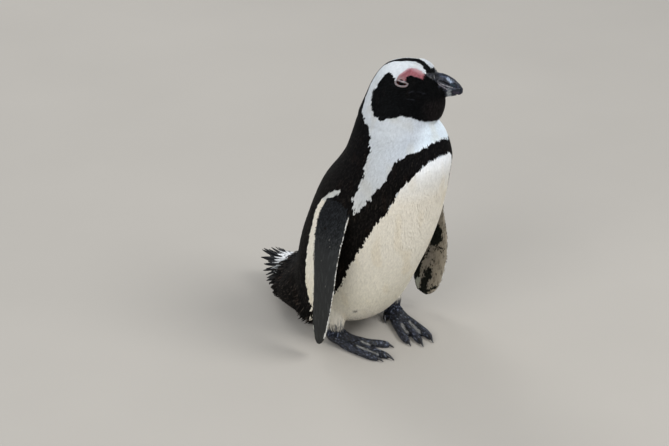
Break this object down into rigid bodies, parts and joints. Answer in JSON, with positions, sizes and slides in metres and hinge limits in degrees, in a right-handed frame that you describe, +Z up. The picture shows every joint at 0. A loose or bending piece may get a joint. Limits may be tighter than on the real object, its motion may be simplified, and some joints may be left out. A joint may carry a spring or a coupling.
{
  "type": "african penguin",
  "caption": "Life-size still model of a standing black-footed penguin, head turned to its left, resting on both feet and the underside of the rump.",
  "frame": {"origin": "on the floor, under the middle of the model's box", "axes": "+Z up, the bird faces -Y, so its left is +X"},
  "size_m": [0.2252, 0.3488, 0.4178],
  "materials": {
    "plumage": "dense short feathers, black above and white below",
    "tail_feathers": "stiff black feathers",
    "flipper_plumage": "tiny scale-like slate feathers",
    "bare_skin": "bare pink skin over and round the eye",
    "foot_skin": "scaly black skin with pale mottling",
    "horn": "polished black horn with a pale band",
    "claw": "black horn",
    "eye": "wet dark brown"
  },
  "bodies": {
    "root": {"head": "plumage", "neck": "plumage", "trunk": "plumage", "rump": "plumage", "tail": "tail_feathers", "bill_upper": "horn", "bill_lower": "horn", "eye_left": "eye", "eye_right": "eye", "flipper_left": "flipper_plumage", "flipper_right": "flipper_plumage", "leg_left": "foot_skin", "leg_right": "foot_skin", "foot_left": "foot_skin", "foot_right": "foot_skin", "claw_left_inner": "claw", "claw_left_middle": "claw", "claw_left_outer": "claw", "claw_left_hind": "claw", "claw_right_inner": "claw", "claw_right_middle": "claw", "claw_right_outer": "claw", "claw_right_hind": "claw"}
  },
  "joints": []
}
